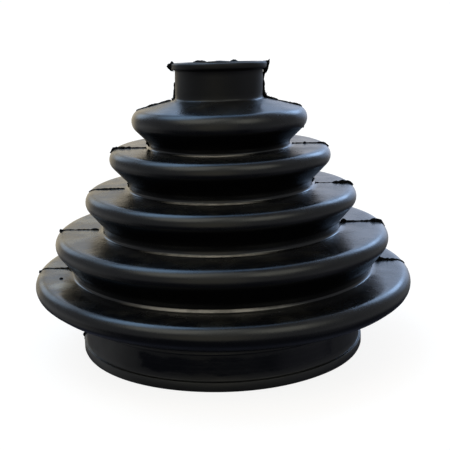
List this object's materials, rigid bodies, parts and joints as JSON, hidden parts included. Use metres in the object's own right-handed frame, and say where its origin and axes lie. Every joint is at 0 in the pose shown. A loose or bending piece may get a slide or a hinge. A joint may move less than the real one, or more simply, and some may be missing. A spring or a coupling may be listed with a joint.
{
  "type": "rubber bellows boot",
  "caption": "Moulded rubber bellows boot: stepped tapering folds between a large and a small clamping collar, with mould flash left on.",
  "frame": {"origin": "middle of the large end's annular face, which stands on the ground plane", "axes": "+Z along the boot's axis from the large end to the small end; the mould's parting plane is the XZ plane, so its flash lies at +X and -X"},
  "size_m": [0.1156, 0.1148, 0.0865],
  "materials": {
    "rubber": "satin"
  },
  "bodies": {
    "root": {"bellows_boot": "rubber"}
  },
  "joints": []
}
